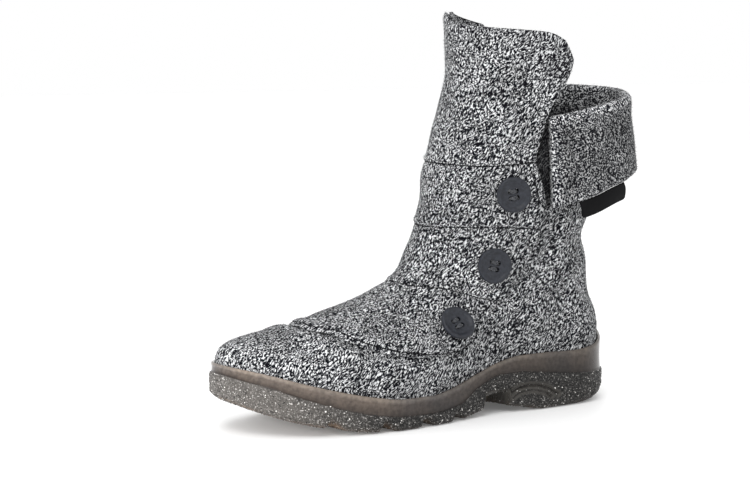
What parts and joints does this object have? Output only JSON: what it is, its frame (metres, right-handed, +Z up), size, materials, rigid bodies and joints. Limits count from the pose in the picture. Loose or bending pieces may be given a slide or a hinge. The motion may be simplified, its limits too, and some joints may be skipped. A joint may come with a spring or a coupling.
{
  "type": "snow boot",
  "caption": "Left knitted snow boot with a buttoned front panel, turned-down cuff and moulded see-through rubber cup sole, standing empty.",
  "frame": {"origin": "on the floor, at the middle of the heel's tread, 38 mm in front of the heel's back edge", "axes": "+Z up; the toe points along -X; the outer (lateral) side of this left boot faces -Y and its inner side +Y"},
  "size_m": [0.2925, 0.1057, 0.2439],
  "materials": {
    "clear_rubber": "smoky see-through rubber with grit in its lower part",
    "insole_felt": "dark grey felt",
    "mottled_knit": "thick mottled grey wool knit, fleece inside",
    "panel_knit": "the same mottled grey wool knit",
    "dark_horn": "satin dark slate, four holes",
    "black_woven": "plain black woven tab"
  },
  "bodies": {
    "root": {"outsole": "clear_rubber", "insole": "insole_felt", "upper": "mottled_knit", "front_panel": "panel_knit", "button_top": "dark_horn", "button_middle": "dark_horn", "button_bottom": "dark_horn", "side_label": "black_woven"}
  },
  "joints": []
}
